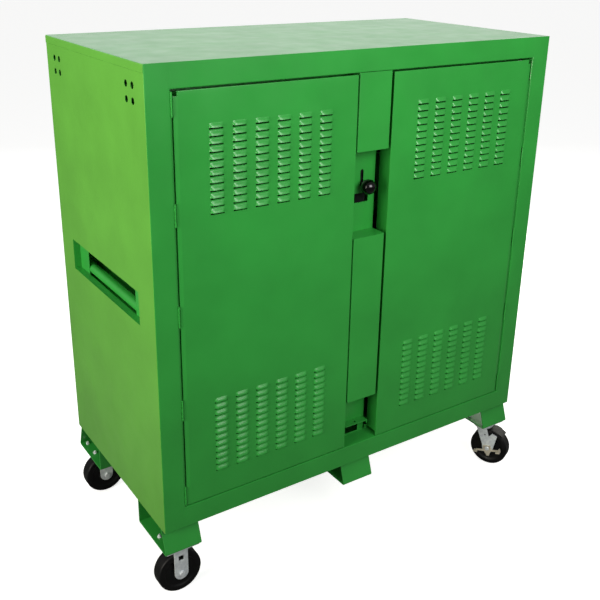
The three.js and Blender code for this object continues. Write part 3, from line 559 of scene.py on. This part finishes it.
def door_skin(name, settings):
    """A door: a louvred sheet with flanges bent back all round and lips behind its upright edges.

    It is drawn with X across from the hinge edge, then laid onto its side of the cabinet.
    """
    low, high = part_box(f"{name}_door")
    width, top = high.x - low.x - settings.hinge_gap, high.z - settings.top_gap
    columns, lips, across, up = door_lines(
        width, SIDES[name] * settings.block_shift, low.z, top, low.y, high.y, settings
    )
    bm = bmesh.new()
    bmesh.ops.create_grid(
        bm,
        x_segments=len(across) - 1,
        y_segments=len(up) - 1,
        size=0.5,
        matrix=Matrix.Translation((0.5, 0, 0.5)) @ Matrix.Rotation(math.pi / 2, 4, "X"),
    )
    for vert in bm.verts:
        i = round(vert.co.x * (len(across) - 1))
        k = round(vert.co.z * (len(up) - 1))
        inward = settings.hem if min(i, len(across) - 1 - i) < 3 else 0
        if i in (0, len(across) - 1):
            inward += settings.lip_mitre
        vert.co = (*across[i], up[k] + inward * ((k == 0) - (k == len(up) - 1)))
    slope, strip = settings.slope_width, low.y + settings.slope_depth

    def beside_hinges(face):
        middle = face.calc_center_median()
        return middle.x < slope or middle.y > strip and middle.x < width / 2

    corner = [f for f in bm.faces if f.calc_center_median().z > top - settings.notch and beside_hinges(f)]
    bmesh.ops.delete(bm, geom=corner, context="FACES")
    rim = [e for e in bm.edges if e.is_boundary and all(v.co.y < strip + WELD for v in e.verts)]

    def upright(points):
        at = [Vector((x, y)) for x, y in points]
        return [e for e in bm.edges if any(all((v.co.xy - p).length < WELD for v in e.verts) for p in at)]

    folds = rim + upright(across[1:5] + across[-5:-1])
    for edge in upright([(slope, low.y)]):
        edge.smooth = False
    press_louvres(bm, columns, lips, settings)

    edges = rim
    for step in ("fold", "hem", "flange"):
        made = bmesh.ops.extrude_edge_only(bm, edges=edges)["geom"]
        for vert in (v for v in made if isinstance(v, bmesh.types.BMVert)):
            if step == "fold":
                vert.co.y += settings.hem_depth
            elif step == "flange":
                vert.co.y = high.y
            elif abs(vert.co.z - top) < WELD or abs(vert.co.z - low.z) < WELD:
                vert.co.z -= math.copysign(settings.hem, vert.co.z - (low.z + top) / 2)
                if abs(vert.co.x - width) < WELD:
                    vert.co.x -= settings.hem
                elif vert.co.x < WELD:
                    vert.co.x += settings.hem
        edges = [e for e in made if isinstance(e, bmesh.types.BMEdge)]
    bmesh.ops.remove_doubles(bm, verts=bm.verts, dist=WELD)
    round_edges(bm, [e for e in folds if e.is_valid and not e.is_boundary], settings.bend, 2)

    bmesh.ops.recalc_face_normals(bm, faces=bm.faces)
    front = max(bm.faces, key=lambda f: f.calc_area())
    if front.normal.y > 0:
        bmesh.ops.reverse_faces(bm, faces=bm.faces)
    bmesh.ops.solidify(bm, geom=bm.faces, thickness=settings.sheet)
    hinge_x = low.x + settings.hinge_gap if name == "left" else high.x - settings.hinge_gap
    bmesh.ops.scale(bm, vec=(SIDES[name], 1, 1), verts=bm.verts)
    bmesh.ops.translate(bm, vec=(hinge_x, 0, 0), verts=bm.verts)
    return finish_piece(
        f"{name}_door_skin", bm, "front", f"{name}_door", (f"{name}_door",), sharp=30
    )


class CABINET_OT_doors(bpy.types.Operator):
    """Press the two louvred door skins"""

    bl_idname = "cabinet.doors"
    bl_label = "Louvred doors"

    def execute(self, context):
        for name in SIDES:
            door_skin(name, context.scene.door_skin)
            paint_nodes([f"{name}_hinge_door_leaf", f"{name}_hinge_frame_leaf"], "front")
            paint_nodes([f"{name}_lower_keeper", f"{name}_upper_keeper"], "front")
        return {"FINISHED"}


# ---------------------------------------------------------------- shell


class CABINET_OT_shell(bpy.types.Operator):
    """Finish the cabinet's sheets, post, covers, shelves and skids"""

    bl_idname = "cabinet.shell"
    bl_label = "Cabinet shell"

    def execute(self, context):
        edge = context.scene.cabinet_hardware.edge
        # The header and the sill run on over the jambs' bends, as sheets welded and ground flush do.
        jamb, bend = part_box("front_header")[1].x, 4 * MM

        def beside_frame(line):
            across = [abs(vert.co.x) - jamb for vert in line.verts if vert.co.y < 0]
            return len(across) == 2 and all(-MM < gap < bend + MM for gap in across)

        # The faces of these sheets that look left or right take the side coat, the front coat painted
        # lighter and yellower to stand for the light on the sides.
        for node in ("left_side_panel", "right_side_panel"):
            eased_copy(node, edge, ("front", "side"), "cabinet", beside_frame)
        eased_copy("top_panel", edge, ("front", "side"), "cabinet")
        for node in ("front_header", "front_sill"):
            eased_copy(node, edge, "front", "cabinet", beside_frame, bend)
        for node in ("upper_post_cover", "lock_cover", "padlock_bracket"):
            eased_copy(node, edge, "front", "cabinet")
        for end in ("front", "rear"):
            for place in ("left", "middle", "right"):
                eased_copy(f"{end}_{place}_skid", edge, "front", "cabinet")
        paint_nodes(["back_panel", "floor_panel", "centre_post"], "front")
        # The shelves and their frames take the inside coat, painted darker to stand for the shade inside the
        # cabinet.
        shelves = ["lower_shelf", "middle_shelf", "upper_shelf", "left_shelf_frame", "right_shelf_frame"]
        paint_nodes(shelves, "inside")
        return {"FINISHED"}


def handle_pocket(name):
    """A pocket pressed in one piece, with a deep curve where its back meets its floor and its roof."""
    low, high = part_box(f"{name}_handle_pocket")
    turn = SIDES[name]
    rim, wall, curve, corner = 12 * MM, 2 * MM, 48 * MM, 5 * MM
    mouth = low.x if turn > 0 else high.x
    back = high.x if turn > 0 else low.x
    bm = bmesh.new()
    add_box(
        bm,
        (min(mouth, back), low.y + rim, low.z + rim),
        (max(mouth, back), high.y - rim, high.z - rim),
    )
    lid = [f for f in bm.faces if all(abs(v.co.x - mouth) < WELD for v in f.verts)]
    bmesh.ops.delete(bm, geom=lid, context="FACES_ONLY")
    rear = [e for e in bm.edges if all(abs(v.co.x - back) < WELD for v in e.verts)]
    level = [e for e in rear if abs(e.verts[0].co.z - e.verts[1].co.z) < WELD]
    upright = [e for e in bm.edges if not e.is_boundary and e not in level]
    round_edges(bm, level, curve, 10)
    round_edges(bm, [e for e in upright if e.is_valid], corner, 3)
    border = [e for e in bm.edges if e.is_boundary]
    made = bmesh.ops.extrude_edge_only(bm, edges=border)["geom"]
    middle = (low + high) / 2
    for vert in (v for v in made if isinstance(v, bmesh.types.BMVert)):
        vert.co.y += math.copysign(rim, vert.co.y - middle.y)
        vert.co.z += math.copysign(rim, vert.co.z - middle.z)
    bmesh.ops.recalc_face_normals(bm, faces=bm.faces)
    deepest = max(bm.faces, key=lambda f: turn * f.calc_center_median().x)
    if deepest.normal.x * turn < 0:
        bmesh.ops.reverse_faces(bm, faces=bm.faces)
    bmesh.ops.solidify(bm, geom=bm.faces, thickness=wall)
    return finish_piece(
        f"{name}_pocket_pressing", bm, "front", "cabinet", (f"{name}_handle_pocket",), sharp=35
    )


def handle_bar(name):
    """A round grip with a flat strap at each end."""
    low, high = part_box(f"{name}_handle_bar")
    turn = SIDES[name]
    grip, chamfer, strap, thickness = 16 * MM, 1 * MM, 93.7 * MM, 2 * MM
    face_x = low.x if turn > 0 else high.x
    strap_x = sorted((face_x, face_x + turn * thickness))
    grip_z = low.z + thickness + grip
    grip_x = (high.x - grip) if turn > 0 else (low.x + grip)
    bm = bmesh.new()
    half = (high.y - low.y) / 2
    end = [(grip, half - chamfer), (grip - chamfer, half), (0, half)]
    profile = [(radius, -along) for radius, along in reversed(end)] + end
    add_spun(bm, profile, (grip_x, (low.y + high.y) / 2, grip_z), (0, 1, 0), 48)
    for near, far in ((low.y, low.y + strap), (high.y - strap, high.y)):
        add_box(bm, (strap_x[0], near, low.z), (strap_x[1], far, high.z), 0.6 * MM)
    return finish_piece(
        f"{name}_grip", bm, "front", "cabinet", (f"{name}_handle_bar",), sharp=40
    )


class CABINET_OT_handles(bpy.types.Operator):
    """Fit the handle pockets and their grips"""

    bl_idname = "cabinet.handles"
    bl_label = "Side handles"

    def execute(self, context):
        for name in SIDES:
            handle_pocket(name)
            handle_bar(name)
        return {"FINISHED"}


# ---------------------------------------------------------------- lock


class CABINET_OT_lock(bpy.types.Operator):
    """Turn the ball knob and finish the lock bar"""

    bl_idname = "cabinet.lock"
    bl_label = "Lock"

    def execute(self, context):
        low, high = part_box("knob_ball")
        radius = (high.x - low.x) / 2
        centre = Vector(((low.x + high.x) / 2, low.y + radius, (low.z + high.z) / 2))
        flat = high.y - centre.y
        start = math.asin(flat / radius)
        rings = 20
        angles = [start - (start + math.pi / 2) * i / rings for i in range(rings + 1)]
        ball = [(radius * math.cos(angle), radius * math.sin(angle)) for angle in angles[:-1]]
        bm = bmesh.new()
        add_spun(bm, [(0, flat), *ball, (0, -radius)], centre, (0, 1, 0), 48)
        finish_piece("ball_knob", bm, "knob", "lock", ("knob_ball",), sharp=40)
        for node in ("lock_bar", "lower_cross_arm", "upper_cross_arm"):
            eased_copy(node, context.scene.cabinet_hardware.edge, "oxide", "lock")
        paint_nodes(["knob_stem"], "oxide")
        return {"FINISHED"}


# ---------------------------------------------------------------- casters


def wheel_axis(corner):
    """The direction of a wheel's axle, from its joint."""
    joint = next(j for j in frame["joints"] if j["name"] == f"{corner}_wheel_spin")
    return Vector(joint["axis"]).normalized()


def middle_of(node):
    """The middle of a node's box."""
    low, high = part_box(node)
    return (low + high) / 2


def caster_wheel(corner):
    """A moulded wheel: hub, dished web, raised rim and a tread with rounded shoulders."""
    low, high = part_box(f"{corner}_wheel")
    radius = (high.z - low.z) / 2
    hub, tread = 27 * MM, 24 * MM
    half = [
        (6.6 * MM, hub),
        (19 * MM, hub),
        (21.5 * MM, hub - 1 * MM),
        (24 * MM, tread - 4 * MM),
        (27 * MM, tread - 6 * MM),
        (49 * MM, tread - 5 * MM),
        (54 * MM, tread - 3.5 * MM),
        (56.5 * MM, tread - 0.6 * MM),
        (59 * MM, tread),
        (radius - 6 * MM, tread),
        (radius - 2.6 * MM, tread - 1.4 * MM),
        (radius - 0.7 * MM, tread - 4 * MM),
        (radius, tread - 7 * MM),
    ]
    profile = half + [(r, -a) for r, a in reversed(half)]
    bm = bmesh.new()
    add_spun(bm, profile, middle_of(f"{corner}_wheel"), wheel_axis(corner), 72, ring=True)
    finish_piece(f"{corner}_tyre", bm, "rubber", f"{corner}_wheel", (f"{corner}_wheel",), sharp=50)


def axle_bolt(corner):
    """The axle bolt: a plain shank with a washer and a chamfered hexagon at each end."""
    body = frame["nodes"][f"{corner}_axle"]["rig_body"]
    centre = middle_of(f"{corner}_axle")
    axis = wheel_axis(corner)
    shank, reach = 5.9 * MM, 33.3 * MM
    washer_radius, washer, hexagon, head = 9.9 * MM, 1.4 * MM, 9.6 * MM, 5.9 * MM
    bm = bmesh.new()
    add_disc(bm, centre - axis * reach, axis, shank, 2 * reach, 32)
    for way in (-1, 1):
        out = axis * way
        add_disc(bm, centre + out * reach, out, washer_radius, washer, 32, 0.4 * MM)
        add_disc(bm, centre + out * (reach + washer), out, hexagon, head, 6, 1.1 * MM)
    finish_piece(f"{corner}_axle_bolt", bm, "zinc", body, (f"{corner}_axle",), sharp=28)


def plate_bolts(corner, plate, sizes):
    """Four bolts through a caster's plate and the floor of its skid, with washers and nuts."""
    skid_sheet, plate_sheet, play = 4 * MM, 6 * MM, 0.2 * MM
    washer, thread, up = 1.6 * MM, 4 * MM, Vector((0, 0, 1))
    centre = middle_of(plate)
    plate_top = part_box(plate)[1].z
    skid_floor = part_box(f"{corner}_skid")[0].z + skid_sheet
    bm = bmesh.new()
    for x in (-sizes.bolt_x, sizes.bolt_x):
        for y in (-sizes.bolt_y, sizes.bolt_y):
            spot = Vector((centre.x + x, centre.y + y, 0))
            top = spot + up * (skid_floor + play)
            under = spot + up * (plate_top - plate_sheet - play)
            nut_top = top + up * (washer + sizes.bolt_height)
            add_disc(bm, top, up, sizes.washer, washer, 28, 0.5 * MM)
            add_disc(bm, top + up * washer, up, sizes.bolt_hex, sizes.bolt_height, 6, 1.3 * MM)
            add_disc(bm, nut_top, up, sizes.bolt_radius, thread, 20, 1 * MM)
            add_disc(bm, under, -up, sizes.bolt_hex, sizes.bolt_height - 0.6 * MM, 6, 1.3 * MM)
    finish_piece(f"{corner}_plate_bolts", bm, "zinc", "cabinet", sharp=28)


class CABINET_OT_casters(bpy.types.Operator):
    """Build the wheels, forks, axle bolts and plate bolts of the four casters"""

    bl_idname = "cabinet.casters"
    bl_label = "Casters"

    def execute(self, context):
        sizes = context.scene.cabinet_hardware
        for corner in CORNERS:
            swivels = corner in SWIVELS
            body = f"{corner}_swivel" if swivels else "cabinet"
            plate = f"{corner}_caster_plate" if swivels else f"{corner}_caster_fork"
            caster_wheel(corner)
            eased_copy(f"{corner}_caster_fork", sizes.edge, "zinc", body)
            if swivels:
                eased_copy(plate, sizes.edge, "zinc", "cabinet")
            axle_bolt(corner)
            plate_bolts(corner, plate, sizes)
        return {"FINISHED"}


class CABINET_OT_brakes(bpy.types.Operator):
    """Finish the brake shoes and the foot pedals"""

    bl_idname = "cabinet.brakes"
    bl_label = "Brakes"

    def execute(self, context):
        edge = context.scene.cabinet_hardware.edge
        for corner in SWIVELS:
            eased_copy(f"{corner}_brake_shoe", edge, "oxide", f"{corner}_shoe")
            eased_copy(f"{corner}_brake_pedal", edge, "chromate", f"{corner}_pedal")
        return {"FINISHED"}


# ---------------------------------------------------------------- studio


def add_softbox(name, place, target, size, radiance, rgb=(1, 1, 1), spread=180):
    """A rectangular softbox of a given brightness and spread in degrees, aimed at a point.

    A gridded softbox, with a spread below 180, is as bright as an open one along its axis only.
    """
    lamp = bpy.data.lights.new(name, "AREA")
    lamp.shape = "RECTANGLE"
    lamp.size, lamp.size_y = size
    half = math.radians(spread) / 2
    gain = 1 if spread == 180 else math.tan(half) / (math.tan(half) - half)
    lamp.energy = radiance * math.pi * size[0] * size[1] / gain
    lamp.color = rgb
    lamp.spread = math.radians(spread)
    softbox = bpy.data.objects.new(name, lamp)
    softbox.location = place
    softbox.rotation_euler = (Vector(target) - Vector(place)).to_track_quat("-Z", "Y").to_euler()
    softbox.visible_camera = False
    bpy.context.scene.collection.objects.link(softbox)
    return softbox


def studio_world():
    """White surroundings: full white behind the object, and a dimmer light on it."""
    world = bpy.data.worlds.new("white_studio")
    world.use_nodes = True
    tree = world.node_tree
    tree.nodes.clear()
    path = add_node(tree, "ShaderNodeLightPath").outputs["Is Camera Ray"]
    level = ranged(tree, path, ROOM_LIGHT, 1.0, 0, 1)
    back = add_node(tree, "ShaderNodeBackground", {"Color": (1, 1, 1, 1)}, {"Strength": level})
    output = add_node(tree, "ShaderNodeOutputWorld")
    tree.links.new(back.outputs[0], output.inputs["Surface"])
    bpy.context.scene.world = world


def studio_camera():
    """The camera, at a standing person's eye height in front of the left corner."""
    data = bpy.data.cameras.new("camera")
    data.sensor_width = 36
    data.lens = 50.96
    data.shift_x = 0.0022
    data.shift_y = -0.0725
    camera = bpy.data.objects.new("camera", data)
    azimuth, elevation, roll = (math.radians(angle) for angle in (-34.04, 20.54, 0.96))
    camera.matrix_world = (
        Matrix.Translation((-1.648, -2.413, 2.026))
        @ Matrix.Rotation(azimuth, 4, "Z")
        @ Matrix.Rotation(math.pi / 2 - elevation, 4, "X")
        @ Matrix.Rotation(roll, 4, "Z")
    )
    bpy.context.scene.collection.objects.link(camera)
    bpy.context.scene.camera = camera


class CABINET_OT_studio(bpy.types.Operator):
    """Set up the floor, the softboxes and the camera"""

    bl_idname = "cabinet.studio"
    bl_label = "Studio"

    def execute(self, context):
        bm = bmesh.new()
        bmesh.ops.create_grid(bm, x_segments=8, y_segments=8, size=60)
        mesh = bpy.data.meshes.new("studio_floor")
        bm.to_mesh(mesh)
        bm.free()
        mesh.materials.append(studio_floor("matt_white_studio_floor", context.scene.cabinet_finish.floor))
        floor = bpy.data.objects.new("studio_floor", mesh)
        context.scene.collection.objects.link(floor)
        # The front one shades the doors from bright tops to darker feet, and the back one whitens
        # what the lid mirrors. The top one is aimed down at the lid, and the others at the two sides.
        warm = (1, 0.96, 0.84)
        add_softbox("front_softbox", (0.1, -3, 2.7), (0.35, -0.38, 1.9), (2.2, 1.6), 9.4, spread=95)
        add_softbox("left_softbox", (-3.6, -0.5, 1.9), (-0.76, 0, 1.75), (2.2, 2.2), 11.2, warm, 100)
        add_softbox("top_softbox", (0.2, 1, 4.2), (0.2, 0.6, 1.7), (1.5, 1.5), 3.7)
        add_softbox("back_softbox", (2.3, 4.2, 3.2), (0, 0, 1.7), (6.5, 3.4), 0.88)
        add_softbox("side_softbox", (3.6, 0.9, 1), (0.76, 0, 1), (2.4, 1.2), 5, warm)
        studio_world()
        studio_camera()
        context.scene.view_settings.view_transform = "Standard"
        return {"FINISHED"}


# ---------------------------------------------------------------- add-on


OPERATORS = (
    CABINET_OT_shell,
    CABINET_OT_doors,
    CABINET_OT_handles,
    CABINET_OT_lock,
    CABINET_OT_casters,
    CABINET_OT_brakes,
    CABINET_OT_studio,
)


class CABINET_PT_panel(bpy.types.Panel):
    """Buttons for each group of pieces, and their sizes and colours"""

    bl_idname = "CABINET_PT_panel"
    bl_label = "Storage cabinet"
    bl_space_type = "VIEW_3D"
    bl_region_type = "UI"
    bl_category = "Cabinet"

    def draw(self, context):
        for operator in OPERATORS:
            self.layout.operator(operator.bl_idname)
        for group in ("cabinet_finish", "door_skin", "cabinet_hardware"):
            settings = getattr(context.scene, group)
            box = self.layout.box()
            for key in settings.__annotations__:
                box.prop(settings, key)


CLASSES = (CabinetFinishSettings, DoorSkinSettings, HardwareSettings, *OPERATORS, CABINET_PT_panel)


def register():
    """Registers the add-on's classes and its settings."""
    for cls in CLASSES:
        bpy.utils.register_class(cls)
    bpy.types.Scene.cabinet_finish = bpy.props.PointerProperty(type=CabinetFinishSettings)
    bpy.types.Scene.door_skin = bpy.props.PointerProperty(type=DoorSkinSettings)
    bpy.types.Scene.cabinet_hardware = bpy.props.PointerProperty(type=HardwareSettings)


def unregister():
    """Removes what register added."""
    del bpy.types.Scene.cabinet_hardware
    del bpy.types.Scene.door_skin
    del bpy.types.Scene.cabinet_finish
    for cls in reversed(CLASSES):
        bpy.utils.unregister_class(cls)


def main():
    register()
    make_finishes(bpy.context.scene.cabinet_finish)
    for operator in OPERATORS:
        group, name = operator.bl_idname.split(".")
        getattr(getattr(bpy.ops, group), name)()


if __name__ == "__main__":
    main()
